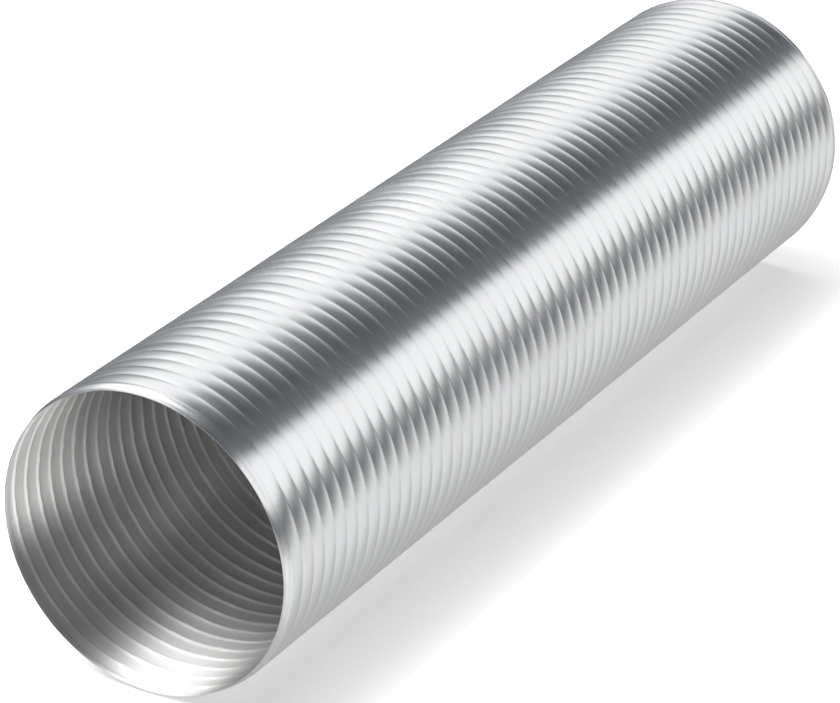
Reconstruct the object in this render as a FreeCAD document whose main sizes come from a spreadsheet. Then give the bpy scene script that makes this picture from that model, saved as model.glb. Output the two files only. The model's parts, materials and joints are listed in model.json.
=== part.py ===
import FreeCAD, Part
import os
import Sketcher

# Semi-rigid aluminium air duct, 100 mm nominal bore, 390 mm long.
#
# The duct is one narrow aluminium strip wound into a spiral, with one rib to a turn, each turn lapped over
# the next. Here every turn of the strip is a ring of its own, so that the turns can slide and tilt on each
# other as they do when the duct is squeezed or bent. A turn starts at the bore, flares outwards and ends as
# a lap outside the next turn, so that the turns nest like cups and never meet over their whole travel.
#
# Frame: millimetres, +Z up. The duct runs along +Y from the inlet mouth, whose centre is the origin.

SIZES = {
    "inner_radius": 50.0,   # clear bore, slips over a 100 mm spigot
    "wall": 0.12,           # strip thickness, measured along the radius
    "rib_pitch": 6.4,       # from one turn to the next
    "turn_count": 60,
    "end_band": 3.0,        # plain cut band at each mouth
    "land": 0.2,            # straight start of a turn, before it flares
    "lap": 2.4,             # length of a turn that covers the next one
    "flare": 0.25,          # rise of the wall per length
}
ORIGIN = -1                 # stands for the sketch's own origin in a dimension


def make_sheet(doc):
    """The driving dimensions, one to a row, each with its alias."""
    sheet = doc.addObject("Spreadsheet::Sheet", "sizes")
    for row, (alias, value) in enumerate(SIZES.items(), start=1):
        sheet.set(f"A{row}", alias)
        sheet.set(f"B{row}", str(value))
        sheet.setAlias(f"B{row}", alias)
    doc.recompute()


def new_body(doc, name, start):
    """An empty body whose near edge stands at the length that the expression gives."""
    body = doc.addObject("PartDesign::Body", name)
    body.Label = name
    body.setExpression("Placement.Base.y", start)
    return body


def new_outline(body, corners, dimensions):
    """A closed outline in the plane of the duct's axis: sketch x is the radius, sketch y runs along the duct.

    corners start at the bore's near corner. dimensions maps each name to (first corner, second corner,
    direction, expression), and ORIGIN may stand for the first corner.
    """
    sketch = body.newObject("Sketcher::SketchObject", body.Name + "_outline")
    plane = next(item for item in body.Origin.OriginFeatures if item.Role == "XY_Plane")
    sketch.AttachmentSupport = [(plane, "")]
    sketch.MapMode = "FlatFace"
    count = len(corners)
    for index in range(count):
        start = FreeCAD.Vector(*corners[index], 0)
        end = FreeCAD.Vector(*corners[(index + 1) % count], 0)
        sketch.addGeometry(Part.LineSegment(start, end))
    for index in range(count):
        sketch.addConstraint(Sketcher.Constraint("Coincident", index, 2, (index + 1) % count, 1))
    sketch.addConstraint(Sketcher.Constraint("PointOnObject", 0, 1, ORIGIN))
    for name, (first, second, direction, expression) in dimensions.items():
        axis = "XY".index(direction)
        reach = corners[second][axis] - (0.0 if first == ORIGIN else corners[first][axis])
        held = Sketcher.Constraint("Distance" + direction, first, 1, second, 1, reach)
        sketch.renameConstraint(sketch.addConstraint(held), name)
        sketch.setExpression("Constraints." + name, expression)
    return sketch


def align(sketch, direction, pairs):
    """Hold each pair of corners at one radius (Vertical) or at one length (Horizontal)."""
    for first, second in pairs:
        sketch.addConstraint(Sketcher.Constraint(direction, first, 1, second, 1))


def revolve(body, sketch):
    """Turn an outline once round the duct's axis."""
    ring = body.newObject("PartDesign::Revolution", body.Name + "_ring")
    ring.Profile = sketch
    ring.ReferenceAxis = (sketch, ["V_Axis"])
    ring.Angle = 360
    body.Tip = ring
    return body


def flared_turn(doc, name, start, land):
    """A turn of strip: a straight land, then a flare that ends as a lap outside the next turn."""
    bore, wall = SIZES["inner_radius"], SIZES["wall"]
    near, far = SIZES["land"], SIZES["rib_pitch"] + SIZES["lap"]
    lip = bore + SIZES["flare"] * (far - near)
    corners = [(bore, 0), (bore + wall, 0), (bore + wall, near), (lip + wall, far), (lip, far), (bore, near)]
    flare_length = "sizes.rib_pitch + sizes.lap - sizes.land"
    body = new_body(doc, name, start)
    sketch = new_outline(body, corners, {
        "bore": (ORIGIN, 0, "X", "sizes.inner_radius"),
        "wall": (0, 1, "X", "sizes.wall"),
        "land": (0, 5, "Y", land),
        "rise": (5, 4, "X", f"sizes.flare * ({flare_length})"),
        "flare_length": (5, 4, "Y", flare_length),
        "lip_wall": (4, 3, "X", "sizes.wall"),
    })
    align(sketch, "Horizontal", [(0, 1), (5, 2), (4, 3)])
    align(sketch, "Vertical", [(0, 5), (1, 2)])
    return revolve(body, sketch)


def collar_turn(doc, name, start):
    """The last turn: a straight collar at the bore's radius, with the plain cut band."""
    bore, wall, length = SIZES["inner_radius"], SIZES["wall"], SIZES["rib_pitch"]
    corners = [(bore, 0), (bore + wall, 0), (bore + wall, length), (bore, length)]
    body = new_body(doc, name, start)
    sketch = new_outline(body, corners, {
        "bore": (ORIGIN, 0, "X", "sizes.inner_radius"),
        "wall": (0, 1, "X", "sizes.wall"),
        "length": (0, 3, "Y", "sizes.rib_pitch + sizes.end_band"),
    })
    align(sketch, "Horizontal", [(0, 1), (3, 2)])
    align(sketch, "Vertical", [(0, 3), (1, 2)])
    return revolve(body, sketch)


def make_turns(doc):
    """All the turns, from the inlet mouth to the outlet mouth."""
    count = SIZES["turn_count"]
    turns = [flared_turn(doc, "turn_01", "0 * sizes.rib_pitch", "sizes.end_band + sizes.land")]
    for number in range(2, count + 1):
        name = f"turn_{number:02d}"
        start = f"sizes.end_band + {number - 1} * sizes.rib_pitch"
        if number < count:
            turns.append(flared_turn(doc, name, start, "sizes.land"))
        else:
            turns.append(collar_turn(doc, name, start))
    return turns


def check(doc, turns):
    """Stop if anything failed to build, or if a turn isn't one valid solid."""
    for item in doc.Objects:
        if "Invalid" in item.State or "Error" in item.State:
            raise RuntimeError(f"{item.Label} failed: {item.State}")
    for body in turns:
        shape = body.Shape
        if shape.isNull() or not shape.isValid() or len(shape.Solids) != 1:
            raise RuntimeError(f"{body.Label} is not one valid solid")


def main():
    doc = FreeCAD.newDocument("air_duct")
    make_sheet(doc)
    turns = make_turns(doc)
    doc.recompute()
    check(doc, turns)
    os.makedirs("parts", exist_ok=True)
    box = FreeCAD.BoundBox()
    for body in turns:
        body.Shape.exportStep(os.path.join("parts", body.Label + ".step"))
        box.add(body.Shape.BoundBox)
    volume = sum(body.Shape.Volume for body in turns)
    print(f"{len(turns)} turns, {box.XLength:.2f} x {box.YLength:.2f} x {box.ZLength:.2f} mm, {volume:.0f} mm3")


main()
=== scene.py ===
# %% [markdown]
# # A flexible aluminium air duct
#
# The real duct is one narrow strip of soft aluminium, rolled with a rib, wound into a spiral and locked to
# itself along a seam. It has one rib and one seam to each turn. Squeeze it or bend it, and every turn moves
# a little on the next.
#
# The imported frame holds one body for each turn, and a joint between each turn and the next. This script
# makes the looks: one continuous ribbed wall, worked out by Geometry Nodes, and then parted into one ring
# for each joint.

# %% Load the frame
import json
import math

import bpy
import numpy as np
from mathutils import Matrix, Vector


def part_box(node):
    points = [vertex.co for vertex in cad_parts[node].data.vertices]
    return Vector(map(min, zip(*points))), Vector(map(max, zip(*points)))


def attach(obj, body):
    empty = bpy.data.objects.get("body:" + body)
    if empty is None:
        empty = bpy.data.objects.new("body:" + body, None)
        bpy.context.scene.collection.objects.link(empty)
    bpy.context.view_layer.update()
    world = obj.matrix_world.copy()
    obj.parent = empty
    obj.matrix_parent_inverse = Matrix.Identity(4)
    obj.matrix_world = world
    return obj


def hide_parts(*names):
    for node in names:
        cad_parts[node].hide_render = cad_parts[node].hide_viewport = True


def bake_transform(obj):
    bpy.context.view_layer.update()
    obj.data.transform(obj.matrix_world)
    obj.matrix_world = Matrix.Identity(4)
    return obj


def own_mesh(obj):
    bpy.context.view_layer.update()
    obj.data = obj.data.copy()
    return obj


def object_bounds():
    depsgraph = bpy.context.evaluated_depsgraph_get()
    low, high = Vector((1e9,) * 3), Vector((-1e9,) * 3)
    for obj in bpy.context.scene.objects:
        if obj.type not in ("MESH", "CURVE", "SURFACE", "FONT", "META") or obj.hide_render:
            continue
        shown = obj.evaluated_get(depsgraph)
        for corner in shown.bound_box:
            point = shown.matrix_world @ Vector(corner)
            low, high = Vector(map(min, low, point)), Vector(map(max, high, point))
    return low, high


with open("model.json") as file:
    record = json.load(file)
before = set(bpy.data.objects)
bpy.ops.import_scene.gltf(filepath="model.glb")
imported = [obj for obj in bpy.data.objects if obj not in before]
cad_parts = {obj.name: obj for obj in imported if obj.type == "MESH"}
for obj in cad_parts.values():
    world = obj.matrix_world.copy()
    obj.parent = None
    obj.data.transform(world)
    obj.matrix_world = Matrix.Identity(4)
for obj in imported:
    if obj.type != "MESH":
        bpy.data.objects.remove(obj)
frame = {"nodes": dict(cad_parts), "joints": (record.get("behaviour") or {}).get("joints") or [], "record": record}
cad_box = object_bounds()
MM = 0.001
print("the frame's box in mm:", [[round(value / MM, 2) for value in corner] for corner in cad_box])

# %% [markdown]
# The main sizes come from the frame. From the second turn on, the turns start one rib apart, and each joint
# stands where a turn starts. So the turns' own boxes give the pitch, and the plain band at the mouth. The
# strip's thickness and the rib's two heights aren't in the frame, and are set here.

# %% Sizes
TURNS = sorted(frame["nodes"])
starts = [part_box(name)[0].y for name in TURNS]
PITCH = starts[2] - starts[1]
BAND = starts[1] - PITCH
LENGTH = cad_box[1].y
BORE = frame["record"]["mounts"][0]["dims"]["r_mm"] * MM
WALL = 0.12 * MM
RIB_STAND = 0.7 * MM
RIB_HEIGHT = 0.32 * MM
CREST = BORE + WALL + RIB_STAND + RIB_HEIGHT
print(f"{len(TURNS)} turns, pitch {PITCH / MM:.2f} mm, band {BAND / MM:.2f} mm")
print(f"crest radius {CREST / MM:.2f} mm")

# %% [markdown]
# ## Camera
#
# The duct runs away from the camera, up and to the right, seen from a little above through a long lens. The
# place is counted from the near mouth in crest radii, along the camera's own three directions.

# %% Camera
AZIMUTH, ELEVATION = math.radians(30.0), math.radians(25.2)
back = Vector((math.sin(AZIMUTH) * math.cos(ELEVATION), -math.cos(AZIMUTH) * math.cos(ELEVATION),
               math.sin(ELEVATION)))
right = Vector((math.cos(AZIMUTH), math.sin(AZIMUTH), 0.0))
up = back.cross(right)
DISTANCE, ASIDE, ABOVE = 22.235, 1.629, 1.134

SENSOR_WIDTH, FOCAL_LENGTH = 36.0, 163.0

lens = bpy.data.cameras.new("camera")
lens.sensor_width = SENSOR_WIDTH
lens.lens = FOCAL_LENGTH
camera = bpy.data.objects.new("camera", lens)
camera.matrix_world = Matrix((right, up, back)).transposed().to_4x4()
camera.location = CREST * (DISTANCE * back + ASIDE * right + ABOVE * up)
bpy.context.collection.objects.link(camera)
bpy.context.scene.camera = camera

# %% [markdown]
# ## Studio
#
# Bare metal shows its surroundings more than itself, so the studio is half of the finish. The world holds it
# as a ramp of brightness round the duct's axis: a long soft box to each side of the top, with a dark gap
# between them overhead, and a dimmer light from below. The bands that these leave on the metal run straight
# from end to end. The inside of the tube would be black in that light alone, so a second ramp, the front
# light, takes over in the directions that face the mouth from the side.
#
# Three things are staged, and a real room would do them differently. The camera sees an even pale backdrop
# where the soft boxes are. The metal doesn't mirror the floor, because a pale floor mirrored in full makes the
# underside too bright, so the lower half of the ramp stands in for it. The overhead lamp lights the floor
# only, and the metal doesn't mirror that either.

# %% World
scene = bpy.context.scene
scene.view_settings.view_transform = "Standard"
world = bpy.data.worlds.new("studio")
scene.world = world
world.use_nodes = True
sky = world.node_tree
sky.nodes.clear()


def add(tree, kind, values=None, **settings):
    """A new node, with its settings, and with its input values by name or number."""
    node = tree.nodes.new(kind)
    for name, value in settings.items():
        setattr(node, name, value)
    for name, value in (values or {}).items():
        if isinstance(value, bpy.types.NodeSocket):
            tree.links.new(value, node.inputs[name])
        else:
            node.inputs[name].default_value = value
    return node


direction = add(sky, "ShaderNodeTexCoord").outputs["Generated"]
split = add(sky, "ShaderNodeSeparateXYZ", {0: direction})
angle = add(sky, "ShaderNodeMath", {0: split.outputs["Z"], 1: split.outputs["X"]}, operation="ARCTAN2")
turn = add(sky, "ShaderNodeMath", {0: angle.outputs[0], 1: 1 / math.tau, 2: 0.5}, operation="MULTIPLY_ADD")

# Degrees round the duct's axis, from +X up over +Z, and the brightness there. The room is the same towards
# both ends of the duct. The front light is only in the directions that face the mouth from the side.
ROOM = (
    (-178, 0.16), (-168, 0.16), (-155, 0.4), (-110, 0.46), (-75, 0.54), (-36, 0.82), (-20, 0.82), (-8, 0.34),
    (2, 0.14), (10, 0.33), (19, 1.0), (43, 1.0), (54, 0.14), (74, 0.09), (94, 0.15), (116, 0.97), (142, 0.97),
    (156, 0.48), (168, 0.25),
)
FRONT = (
    (-170, 0.05), (-150, 0.08), (-110, 2.4), (-70, 3.4), (-18, 4.6), (-5, 0.6), (7, 0.03), (78, 0.03),
    (90, 1.4), (99, 10.0), (142, 10.0), (154, 1.0), (166, 0.1),
)
# The direction's part along the duct, at which the front light begins and ends: from none of it to all of it.
FRONT_STARTS, FRONT_ENDS = (0.1, -0.25), (-0.62, -0.45)
DIM, COOLING = 0.3, 0.08
BACKDROP = 0.95


def ramp_round(stops):
    """Brightness round the duct's axis, from stops of degrees and brightness. Dim stops are a little cool."""
    ramp = add(sky, "ShaderNodeValToRGB", {0: turn.outputs[0]})
    ramp.color_ramp.interpolation = "EASE"
    while len(ramp.color_ramp.elements) < len(stops):
        ramp.color_ramp.elements.new(0.5)
    for element, (degrees, brightness) in zip(ramp.color_ramp.elements, stops):
        element.position = degrees / 360 + 0.5
    for element, (degrees, brightness) in zip(ramp.color_ramp.elements, stops):
        cool = 1.0 + COOLING * (brightness < DIM)
        element.color = (brightness / cool, brightness, brightness * cool, 1.0)
    return ramp.outputs["Color"]


def step_along(low, high):
    """0 where the direction's part along the duct is low, 1 where it is high, and a smooth step between."""
    step = add(sky, "ShaderNodeMapRange", {"Value": split.outputs["Y"], "From Min": low, "From Max": high},
               interpolation_type="SMOOTHSTEP")
    return step.outputs[0]


facing = add(sky, "ShaderNodeMath", {0: step_along(*FRONT_STARTS), 1: step_along(*FRONT_ENDS)},
             operation="MULTIPLY")
room = add(sky, "ShaderNodeMix", {0: facing.outputs[0], 6: ramp_round(ROOM), 7: ramp_round(FRONT)},
           data_type="RGBA")
glow = add(sky, "ShaderNodeBackground", {"Color": room.outputs[2], "Strength": 1.0})
backdrop = add(sky, "ShaderNodeBackground", {"Color": (BACKDROP, BACKDROP, BACKDROP, 1.0), "Strength": 1.0})
seen = add(sky, "ShaderNodeLightPath").outputs["Is Camera Ray"]
both = add(sky, "ShaderNodeMixShader", {0: seen, 1: glow.outputs[0], 2: backdrop.outputs[0]})
add(sky, "ShaderNodeOutputWorld", {"Surface": both.outputs[0]})

# %% Overhead lamp
LAMP_SIDE, LAMP_HEIGHT, LAMP_WATTS = 2.0, 2.0, 30.0
lamp = bpy.data.lights.new("overhead", "AREA")
lamp.shape = "SQUARE"
lamp.size = LAMP_SIDE
lamp.energy = LAMP_WATTS
overhead = bpy.data.objects.new("overhead", lamp)
overhead.location = (0.0, LENGTH / 2, LAMP_HEIGHT)
overhead.visible_glossy = False
bpy.context.collection.objects.link(overhead)

# %% Floor
FLOOR_SIDE = 60.0
PAPER, PAPER_ROUGHNESS, PAPER_GLOW = 0.7, 0.9, 0.3
reach = FLOOR_SIDE / 2
floor_corners = [(x * reach, y * reach, -CREST) for x, y in ((-1, -1), (1, -1), (1, 1), (-1, 1))]
floor_mesh = bpy.data.meshes.new("floor")
floor_mesh.from_pydata(floor_corners, [], [(0, 1, 2, 3)])
floor = bpy.data.objects.new("floor", floor_mesh)
bpy.context.collection.objects.link(floor)
paper = bpy.data.materials.new("pale_floor")
paper.use_nodes = True
sheet = paper.node_tree.nodes["Principled BSDF"].inputs
sheet["Base Color"].default_value = (PAPER, PAPER, PAPER, 1.0)
sheet["Roughness"].default_value = PAPER_ROUGHNESS
sheet["Emission Color"].default_value = (1.0, 1.0, 1.0, 1.0)
sheet["Emission Strength"].default_value = PAPER_GLOW
floor_mesh.materials.append(paper)
floor.visible_glossy = False

# %% [markdown]
# ## Finishes
#
# Rolled strip has three marks that show: the grain that the rolls leave along the strip, which on the wound
# tube runs round it; the smudges and rubs of hands; and the line in each seam, rougher where dirt sits and
# darker in colour, which is painted shade in the groove.
# Grain and smudges are wanted on both faces of the strip, so they are shader groups, built once. Each puts
# out two masks, and each material mixes the masks in its own way.


# %% A shader group
def shader_group(name, inputs, outputs):
    """An empty shader node group with number inputs and outputs, and its two end nodes."""
    tree = bpy.data.node_groups.new(name, "ShaderNodeTree")
    for title, value in inputs.items():
        tree.interface.new_socket(title, in_out="INPUT", socket_type="NodeSocketFloat").default_value = value
    for title in outputs:
        tree.interface.new_socket(title, in_out="OUTPUT", socket_type="NodeSocketFloat")
    return tree, tree.nodes.new("NodeGroupInput"), tree.nodes.new("NodeGroupOutput")


def stretched_noise(tree, scale, detail=2.0, roughness=0.5):
    """Noise over Object coordinates, with a scale for each direction, in waves per metre."""
    place = add(tree, "ShaderNodeTexCoord").outputs["Object"]
    spread = add(tree, "ShaderNodeVectorMath", {0: place, 1: scale}, operation="MULTIPLY")
    noise = add(tree, "ShaderNodeTexNoise", {"Vector": spread.outputs[0], "Scale": 1.0, "Detail": detail,
                                             "Roughness": roughness})
    return noise.outputs[0]


# %% Rolled grain
FINE_GRAIN = (60.0, 2600.0, 60.0)
BROAD_GRAIN = (14.0, 420.0, 14.0)
grain_group, grain_in, grain_out = shader_group("rolled_grain", {"Fine": 0.5}, ["Height", "Streaks"])
fine = stretched_noise(grain_group, FINE_GRAIN, detail=3.0)
broad = stretched_noise(grain_group, BROAD_GRAIN, detail=2.0)
mixed = add(grain_group, "ShaderNodeMix", {0: grain_in.outputs["Fine"], 2: broad, 3: fine}, data_type="FLOAT")
grain_group.links.new(mixed.outputs[0], grain_out.inputs["Height"])
grain_group.links.new(broad, grain_out.inputs["Streaks"])

# %% Handling marks
SMUDGE_SIZES, RUB_SIZES = (28.0, 22.0, 28.0), (90.0, 160.0, 90.0)
marks_group, marks_in, marks_out = shader_group("handling_marks", {"Amount": 0.5}, ["Smudge", "Rub"])
cloud = stretched_noise(marks_group, SMUDGE_SIZES, detail=4.0, roughness=0.6)
smudge = add(marks_group, "ShaderNodeMapRange", {"Value": cloud, "From Min": 0.45, "From Max": 0.75,
                                                 "To Max": marks_in.outputs["Amount"]})
scuff = stretched_noise(marks_group, RUB_SIZES, detail=5.0, roughness=0.7)
rub = add(marks_group, "ShaderNodeMapRange", {"Value": scuff, "From Min": 0.62, "From Max": 0.72,
                                              "To Max": marks_in.outputs["Amount"]})
marks_group.links.new(smudge.outputs[0], marks_out.inputs["Smudge"])
marks_group.links.new(rub.outputs[0], marks_out.inputs["Rub"])


# %% Aluminium
STREAK_TONES = (0.97, 1.02)
STREAK_ROUGHNESS, SMUDGE_ROUGHNESS, RUB_ROUGHNESS = 0.03, 0.12, 0.1
GRAIN_STRENGTH, GRAIN_DEPTH = 0.25, 0.02 * MM


def aluminium(name, bright, seam, roughness, spread, soil, marks, fine):
    """Rolled strip: bright is the clean colour, seam the darker colour down in the seam, which is painted shade
    in the groove. spread is how far the grain smears a highlight along the duct, and soil is how much rougher
    the seam is."""
    material = bpy.data.materials.new(name)
    material.use_nodes = True
    tree = material.node_tree
    shader = tree.nodes["Principled BSDF"]
    grain = add(tree, "ShaderNodeGroup", node_tree=grain_group)
    grain.inputs["Fine"].default_value = fine
    marked = add(tree, "ShaderNodeGroup", node_tree=marks_group)
    marked.inputs["Amount"].default_value = marks
    # How near each point is to the seam's groove. It darkens the colour there, a painted shade, and roughens it.
    shade_and_soil = add(tree, "ShaderNodeAttribute", attribute_name="seam").outputs["Fac"]

    seam_shaded = add(tree, "ShaderNodeMix", {0: shade_and_soil, 6: (*bright, 1.0), 7: (*seam, 1.0)}, data_type="RGBA")
    streaks = {"Value": grain.outputs["Streaks"], "From Min": 0.3, "From Max": 0.7}
    streak = add(tree, "ShaderNodeMapRange", streaks | dict(zip(("To Min", "To Max"), STREAK_TONES)))
    toned = add(tree, "ShaderNodeVectorMath", {0: seam_shaded.outputs[2], 3: streak.outputs[0]}, operation="SCALE")
    tree.links.new(toned.outputs[0], shader.inputs["Base Color"])

    base = add(tree, "ShaderNodeMapRange", streaks | {"To Min": roughness - STREAK_ROUGHNESS,
                                                      "To Max": roughness + STREAK_ROUGHNESS})
    smeared = add(tree, "ShaderNodeMath", {0: marked.outputs["Smudge"], 1: SMUDGE_ROUGHNESS,
                                           2: base.outputs[0]}, operation="MULTIPLY_ADD")
    rubbed = add(tree, "ShaderNodeMath", {0: marked.outputs["Rub"], 1: RUB_ROUGHNESS, 2: smeared.outputs[0]},
                 operation="MULTIPLY_ADD")
    soiled = add(tree, "ShaderNodeMath", {0: shade_and_soil, 1: soil, 2: rubbed.outputs[0]}, operation="MULTIPLY_ADD")
    tree.links.new(soiled.outputs[0], shader.inputs["Roughness"])

    bump = add(tree, "ShaderNodeBump", {"Strength": GRAIN_STRENGTH, "Distance": GRAIN_DEPTH,
                                        "Height": grain.outputs["Height"]})
    tree.links.new(bump.outputs[0], shader.inputs["Normal"])
    along = add(tree, "ShaderNodeTangent", direction_type="UV_MAP", uv_map="grain")
    tree.links.new(along.outputs[0], shader.inputs["Tangent"])
    shader.inputs["Anisotropic"].default_value = spread
    shader.inputs["Metallic"].default_value = 1.0
    return material


outside = aluminium("rolled_strip_outside", bright=(0.9, 0.91, 0.92), seam=(0.84, 0.85, 0.87), roughness=0.23,
                    spread=0.7, soil=0.03, marks=0.5, fine=0.5)
# The inside is the same strip as the outside, but its colours are darker: painted shade for the inside of the tube.
inside = aluminium("rolled_strip_inside", bright=(0.76, 0.76, 0.75), seam=(0.6, 0.6, 0.59), roughness=0.48,
                   spread=0.9, soil=0.04, marks=0.3, fine=0.5)
sheared = aluminium("sheared_edge", bright=(0.96, 0.96, 0.97), seam=(0.9, 0.9, 0.9), roughness=0.3,
                    spread=0.0, soil=0.0, marks=0.2, fine=0.9)
FINISHES = (outside, inside, sheared)
print("finishes:", *[finish.name for finish in FINISHES])

# %% [markdown]
# ## The wall
#
# A duct wall could be turned from one outline, but a turned wall has closed rings for ribs, and the real
# ribs are one long spiral. So the wall is a field: for every place round the tube and along it, a formula
# gives the radius. Geometry Nodes suits that. The tree starts from a plain open cylinder whose rows go along
# the outside from the inlet to the outlet, over the edge, and back along the inside, and every point is
# then moved to where the formula puts it.
#
# The tree's formulas read better as sums than as boxes, so a small class turns + - * / into Math nodes.


# %% Numbers in a node tree
class Field:
    """A number worked out at each point of a node tree."""

    def __init__(self, tree, socket):
        self.tree, self.socket = tree, socket

    def math(self, operation, *others):
        parts = [self, *others]
        values = {n: part.socket if isinstance(part, Field) else part for n, part in enumerate(parts)}
        return Field(self.tree, add(self.tree, "ShaderNodeMath", values, operation=operation).outputs[0])

    def __add__(self, other):
        return self.math("ADD", other)

    def __sub__(self, other):
        return self.math("SUBTRACT", other)

    def __mul__(self, other):
        return self.math("MULTIPLY", other)

    def __truediv__(self, other):
        return self.math("DIVIDE", other)

    def minus_from(self, value):
        return (self * -1.0) + value

    def clamp(self, low, high):
        return self.math("MAXIMUM", low).math("MINIMUM", high)

    def floor(self):
        return self.math("FLOOR")


def smooth(field, start, end):
    """0 before start, 1 after end, and a smooth step between."""
    node = add(field.tree, "ShaderNodeMapRange", {"Value": field.socket, "From Min": start, "From Max": end},
               interpolation_type="SMOOTHSTEP")
    return Field(field.tree, node.outputs[0])


def wander(tree, where, scale, seed):
    """Smooth noise about 0, from about -1 to 1. where is a number, or a vector's socket."""
    if isinstance(where, Field):
        moved = where * scale + seed
        node = add(tree, "ShaderNodeTexNoise", {"W": moved.socket, "Scale": 1.0, "Detail": 1.0},
                   noise_dimensions="1D")
    else:
        node = add(tree, "ShaderNodeTexNoise", {"Vector": where, "W": seed, "Scale": scale, "Detail": 1.0},
                   noise_dimensions="4D")
    return (Field(tree, node.outputs[0]) - 0.5) * 2.0


# %% [markdown]
# The rows are counted so that the wall parts cleanly later. Each ring but the two at the mouths is as long as
# the pitch and is centred on a joint. All have the same number of rows, so every ring's edge falls on a row.
#
# The rib's outline, over one pitch, is a broad crest with a narrow seam at each side: 1 minus a power of
# the distance from the crest's middle. The strip is soft, so each turn is a little different: the crest's
# height and lean wander along the strip, and the pitch, the roundness and the cut ends wander too. The ribbed
# part stands a little outside the plain bands of the mouths. Inside the tube, the folded seam stands into the
# bore as a low ridge, and that ridge is what catches the light there.

# %% The wound strip, as a node tree
ROWS = 16
AROUND = 288
STEPS = (len(TURNS) + 1) * ROWS
SHAPE = {
    "Pitch": PITCH, "Band": BAND, "Length": LENGTH, "Bore": BORE, "Wall": WALL, "Rib Stand": RIB_STAND,
    "Rib Height": RIB_HEIGHT, "Seam Fold": 0.45 * MM,
    "Crest Power": 2.2, "Lap Step": 0.08 * MM, "Lean": 0.05 * MM, "Height Change": 0.18, "Dents": 0.12 * MM,
    "Cut Waver": 0.35 * MM, "Rim Waver": 0.18 * MM, "Seed": 7.0,
}
# How fast each unevenness changes, and its seed. The lean's seed is the tree's own.
SPIRAL_WAVES, DENT_WAVES, RIM_WAVES, RISE_WAVES = (9.0, 3.1), (28.0, 9.4), (1.7, 5.5), (1.4, 40.0)
CUT_WAVES, OTHER_CUT_WAVES, LEAN_WAVES = (2.6, 1.5), (2.2, 8.5), 2.3
SPIRAL_WANDER = 0.12
RIB_FADE, RIM_LENGTH, CUT_LENGTH = (0.5 * MM, 4.0 * MM), 6.0 * MM, 4.0 * MM
# Where the fold and the seam mask start, out from the crest's middle. The seam mask paints shade into the seam's
# colour and roughens it.
FOLD_STARTS, SHADE_AND_SOIL_STARTS = 0.74, 0.82
MERGE = 0.001 * MM


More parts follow.
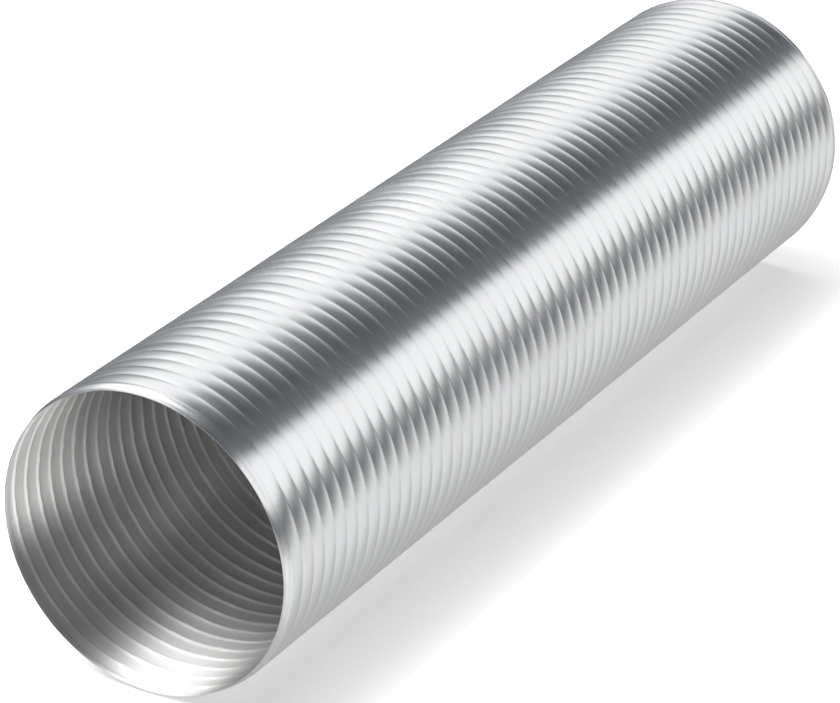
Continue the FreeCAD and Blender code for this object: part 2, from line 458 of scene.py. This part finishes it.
def wound_strip():
    """The tree that makes the whole wall. Faces carry which ring and which side they are on."""
    tree = bpy.data.node_groups.new("wound_strip", "GeometryNodeTree")
    for title, value in SHAPE.items():
        tree.interface.new_socket(title, in_out="INPUT", socket_type="NodeSocketFloat").default_value = value
    for title in ("Outside", "Inside", "Edge"):
        tree.interface.new_socket(title, in_out="INPUT", socket_type="NodeSocketMaterial")
    tree.interface.new_socket("Wall Mesh", in_out="OUTPUT", socket_type="NodeSocketGeometry")
    given = tree.nodes.new("NodeGroupInput").outputs
    size = {title: Field(tree, given[title]) for title in SHAPE}

    rows = 2 * STEPS + 2
    tube = add(tree, "GeometryNodeMeshCylinder", {"Vertices": AROUND, "Side Segments": rows, "Radius": 1.0,
                                                  "Depth": float(rows)}, fill_type="NONE")
    place = add(tree, "ShaderNodeSeparateXYZ", {0: add(tree, "GeometryNodeInputPosition").outputs[0]})
    across = Field(tree, place.outputs["X"])
    height = Field(tree, place.outputs["Y"]) * -1.0
    row = Field(tree, place.outputs["Z"]) + rows / 2
    going_back = row.minus_from(2.0 * STEPS + 1.0)
    step = row.math("MINIMUM", going_back).clamp(0.0, STEPS)
    inner = row.math("GREATER_THAN", STEPS + 0.4) * row.math("LESS_THAN", 2 * STEPS + 1.4)

    # Along the duct, and the spiral count, which grows by one for each turn and is level along the seam.
    plain = (step * (size["Pitch"] / ROWS) - size["Pitch"] / 2.0 + size["Band"]).math("MAXIMUM", 0.0)
    along = plain.math("MINIMUM", size["Length"])
    around = height.math("ARCTAN2", across) / math.tau
    ring = add(tree, "ShaderNodeCombineXYZ", {0: across.socket, 2: height.socket}).outputs[0]
    bore_place = add(tree, "ShaderNodeCombineXYZ", {0: (across * size["Bore"]).socket, 1: along.socket,
                                                    2: (height * size["Bore"]).socket}).outputs[0]
    uneven = wander(tree, bore_place, *SPIRAL_WAVES) * SPIRAL_WANDER
    count = (along - size["Band"]) / size["Pitch"] - around + uneven
    turn_number = count.floor()
    phase = count - turn_number
    strip = turn_number + around

    # The rib, which fades out at the plain band of each mouth.
    off_crest = (phase * 2.0 - 1.0).math("ABSOLUTE")
    crest = off_crest.math("POWER", size["Crest Power"]).minus_from(1.0)
    lean = wander(tree, strip, LEAN_WAVES, size["Seed"]) * size["Lean"]
    rise = (wander(tree, strip, *RISE_WAVES) * size["Height Change"] + 1.0) * size["Rib Height"]
    rib = crest * (rise + lean * (phase - 0.5) * 4.0) + (phase - 0.5) * crest * size["Lap Step"]
    from_end = along.math("MINIMUM", size["Length"] - along)
    fade = smooth(from_end, *RIB_FADE)
    dents = wander(tree, bore_place, *DENT_WAVES) * size["Dents"]
    at_rim = smooth(from_end, 0.0, RIM_LENGTH).minus_from(1.0)
    wave = wander(tree, ring, *RIM_WAVES) * at_rim * size["Rim Waver"]
    relief = size["Rib Stand"] + rib + dents
    fold = smooth(off_crest, FOLD_STARTS, 1.0) * inner * size["Seam Fold"]
    radius = size["Bore"] + size["Wall"] * inner.minus_from(1.0) + (relief - fold) * fade + wave

    # The cut ends: the knife wanders a little, and never past the frame's box.
    near = smooth(along, 0.0, CUT_LENGTH).minus_from(1.0)
    far = smooth(size["Length"] - along, 0.0, CUT_LENGTH).minus_from(1.0)
    knife = wander(tree, ring, *CUT_WAVES).math("ABSOLUTE") * size["Cut Waver"]
    other_knife = wander(tree, ring, *OTHER_CUT_WAVES).math("ABSOLUTE") * size["Cut Waver"]
    y_place = along + knife * near - other_knife * far

    # Which ring and which side each face belongs to. A face lies between two rows, so its row ends in a half.
    part = step.clamp(0.0, STEPS - 0.5) / ROWS
    number = part.floor()
    shown = add(tree, "GeometryNodeStoreNamedAttribute", {"Geometry": tube.outputs["Mesh"], "Name": "ring",
                                                          "Value": number.socket},
                data_type="INT", domain="FACE")
    edge = (row - STEPS - 0.5).math("ABSOLUTE").math("LESS_THAN", 0.3)
    other_edge = row.math("GREATER_THAN", 2 * STEPS + 1.2)
    side = inner + (edge + other_edge) * 2.0
    sided = add(tree, "GeometryNodeStoreNamedAttribute", {"Geometry": shown.outputs[0], "Name": "side",
                                                          "Value": side.socket}, data_type="INT", domain="FACE")
    # The seam mask: it paints shade into the colour down in each seam's groove, and roughens it.
    shade_and_soil_mask = smooth(off_crest, SHADE_AND_SOIL_STARTS, 1.0) * fade
    seamed = add(tree, "GeometryNodeStoreNamedAttribute", {"Geometry": sided.outputs[0], "Name": "seam",
                                                           "Value": shade_and_soil_mask.socket},
                 data_type="FLOAT", domain="POINT")
    flat = add(tree, "ShaderNodeSeparateXYZ", {0: tube.outputs["UV Map"]})
    turned = add(tree, "ShaderNodeCombineXYZ", {0: flat.outputs["Y"], 1: flat.outputs["X"]})
    mapped = add(tree, "GeometryNodeStoreNamedAttribute", {"Geometry": seamed.outputs[0], "Name": "grain",
                                                           "Value": turned.outputs[0]},
                 data_type="FLOAT2", domain="CORNER")
    final = add(tree, "ShaderNodeCombineXYZ", {0: (across * radius).socket, 1: y_place.socket,
                                               2: (height * radius).socket})
    moved = add(tree, "GeometryNodeSetPosition", {"Geometry": mapped.outputs[0], "Position": final.outputs[0]})
    closed = add(tree, "GeometryNodeMergeByDistance", {"Geometry": moved.outputs[0], "Distance": MERGE})
    real = add(tree, "GeometryNodeRealizeInstances", {"Geometry": closed.outputs[0]})
    which = add(tree, "GeometryNodeInputNamedAttribute", {"Name": "side"}, data_type="INT").outputs[0]
    dressed = real.outputs[0]
    for code, title in enumerate(("Outside", "Inside", "Edge")):
        chosen = add(tree, "FunctionNodeCompare", {2: which, 3: code}, data_type="INT", operation="EQUAL")
        dressed = add(tree, "GeometryNodeSetMaterial", {"Geometry": dressed, "Selection": chosen.outputs[0],
                                                        "Material": given[title]}).outputs[0]
    tree.links.new(dressed, tree.nodes.new("NodeGroupOutput").inputs[0])
    return tree


# %% Make the whole wall
SHARP = math.radians(70)


def made_by(tree, name, inputs):
    """The mesh that a tree makes, with its inputs set by name."""
    holder = bpy.data.objects.new(name, bpy.data.meshes.new(name))
    bpy.context.collection.objects.link(holder)
    modifier = holder.modifiers.new(name, "NODES")
    modifier.node_group = tree
    sockets = {item.name: item.identifier for item in tree.interface.items_tree if item.in_out == "INPUT"}
    for title, value in inputs.items():
        modifier[sockets[title]] = value
    evaluated = holder.evaluated_get(bpy.context.evaluated_depsgraph_get())
    mesh = bpy.data.meshes.new_from_object(evaluated)
    bpy.data.objects.remove(holder)
    return mesh


wall = made_by(wound_strip(), "wall", {"Outside": outside, "Inside": inside, "Edge": sheared})
wall.shade_smooth()
wall.set_sharp_from_angle(angle=SHARP)
print(f"wall: {len(wall.vertices)} points, {len(wall.polygons)} faces, {len(wall.materials)} finishes")

# %% [markdown]
# ## Part the wall into rings
#
# Each ring is cut out of the whole wall by the number that its faces carry. Its cut edges are closed with a
# narrow strip of faces between the inner and the outer wall, so every ring is a closed solid. The shading keeps the
# whole wall's normals, so no line shows where two rings meet.


# %% Read the whole wall
def numbers(collection, key, width, kind=float):
    """One attribute of a whole mesh collection as an array."""
    values = np.empty(len(collection) * width, kind)
    collection.foreach_get(key, values)
    return values.reshape(-1, width) if width > 1 else values


points = numbers(wall.vertices, "co", 3)
corner_point = numbers(wall.loops, "vertex_index", 1, np.int32)
corner_normal = numbers(wall.corner_normals, "vector", 3)
quads = corner_point.reshape(-1, 4)
quad_normals = corner_normal.reshape(-1, 4, 3)
face_ring = numbers(wall.attributes["ring"].data, "value", 1, np.int32)
own_slot = np.array([FINISHES.index(finish) if finish in FINISHES else 0 for finish in wall.materials],
                    np.int32)
face_finish = own_slot[numbers(wall.polygons, "material_index", 1, np.int32)]
# The seam mask, which paints shade into the seam's colour.
shade_and_soil_values = numbers(wall.attributes["seam"].data, "value", 1)
quad_map = numbers(wall.attributes["grain"].data, "vector", 2).reshape(-1, 4, 2)
print("all faces have four sides:", len(quads) == len(wall.polygons))
for finish, count in zip(FINISHES, np.bincount(face_finish)):
    print(f"{finish.name}: {count} faces")


# %% Cut one ring out
def border_edges(faces):
    """Edges that only one of the faces has, as (from, to) in that face's direction."""
    edges = np.concatenate([faces[:, [side, (side + 1) % 4]] for side in range(4)])
    keys = {(a, b) for a, b in edges.tolist()}
    return [(a, b) for a, b in keys if (b, a) not in keys]


def close_cuts(faces):
    """Narrow faces that join the outer and the inner wall across each cut."""
    edges = border_edges(faces)
    if not edges:
        return np.empty((0, 4), np.int32)
    ends = np.array(edges)
    centre = points[ends].mean(axis=1)
    bearing = np.arctan2(centre[:, 2], centre[:, 0]).round(3)
    level = centre[:, 1].round(5)
    distance = np.hypot(centre[:, 0], centre[:, 2])
    order = np.lexsort((distance, bearing, level))
    pairs = ends[order].reshape(-1, 2, 2)
    return np.array([(a[1], a[0], b[1], b[0]) for a, b in pairs.tolist()], np.int32)


def cut_ring(number):
    """Ring number as a mesh object: closed at its cuts, shaded as part of the whole wall."""
    chosen = face_ring == number
    faces = quads[chosen]
    caps = close_cuts(faces)
    every = np.concatenate([faces, caps])
    used, local = np.unique(every, return_inverse=True)
    mesh = bpy.data.meshes.new(f"ring_{number:02d}")
    mesh.from_pydata(points[used].tolist(), [], local.reshape(-1, 4).tolist())
    for finish in FINISHES:
        mesh.materials.append(finish)
    slots = np.concatenate([face_finish[chosen], np.full(len(caps), FINISHES.index(sheared))])
    mesh.polygons.foreach_set("material_index", slots.astype(np.int32))
    # Each ring keeps its part of the seam mask, which paints shade into the seam's colour.
    seam = mesh.attributes.new("seam", "FLOAT", "POINT")
    seam.data.foreach_set("value", shade_and_soil_values[used].astype(np.float32))
    grain = np.concatenate([quad_map[chosen].reshape(-1, 2), np.zeros((len(caps) * 4, 2))])
    mesh.uv_layers.new(name="grain").uv.foreach_set("vector", grain.astype(np.float32).ravel())
    flat = np.repeat(np.array([[0.0, 1.0, 0.0]]), len(caps) * 4, axis=0)
    if len(caps):
        ahead = points[caps][:, :, 1].mean(axis=1) > points[faces][:, :, 1].mean()
        flat *= np.repeat(np.where(ahead, 1.0, -1.0), 4)[:, None]
    mesh.shade_smooth()
    mesh.normals_split_custom_set(np.concatenate([quad_normals[chosen].reshape(-1, 3), flat]).tolist())
    piece = bpy.data.objects.new(f"wall_{number:02d}", mesh)
    bpy.context.collection.objects.link(piece)
    return piece


rings = [cut_ring(number) for number in range(len(TURNS) + 1)]
print(f"{len(rings)} rings, {len(rings[1].data.polygons)} faces in each")

# %% [markdown]
# ## Motion
#
# The first and the last ring are rigid and ride on the end turns. Each ring between them is centred on one
# joint. Where the joint slides, the ring rides on the nearer turn and gets a mesh of its own. Where the joint
# tilts, the ring stays where it was made, on no turn. Each ring but the last stands for one of the frame's
# turns.

# %% Ride, or stay in place
joint_into = {joint["child"]: joint for joint in frame["joints"]}
for number, piece in enumerate(rings):
    if number < len(TURNS):
        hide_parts(TURNS[number])
    if number in (0, len(TURNS)):
        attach(piece, TURNS[max(number - 1, 0)])
        continue
    nearer, farther = TURNS[number - 1], TURNS[number]
    joint = joint_into[farther]
    if joint["type"] == "slide":
        travel = max(abs(limit) for limit in joint["range_m"])
        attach(piece, nearer)
        1 - travel / PITCH
        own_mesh(piece)
    else:
        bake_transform(piece)
print("rings that slide and rings that tilt are set")
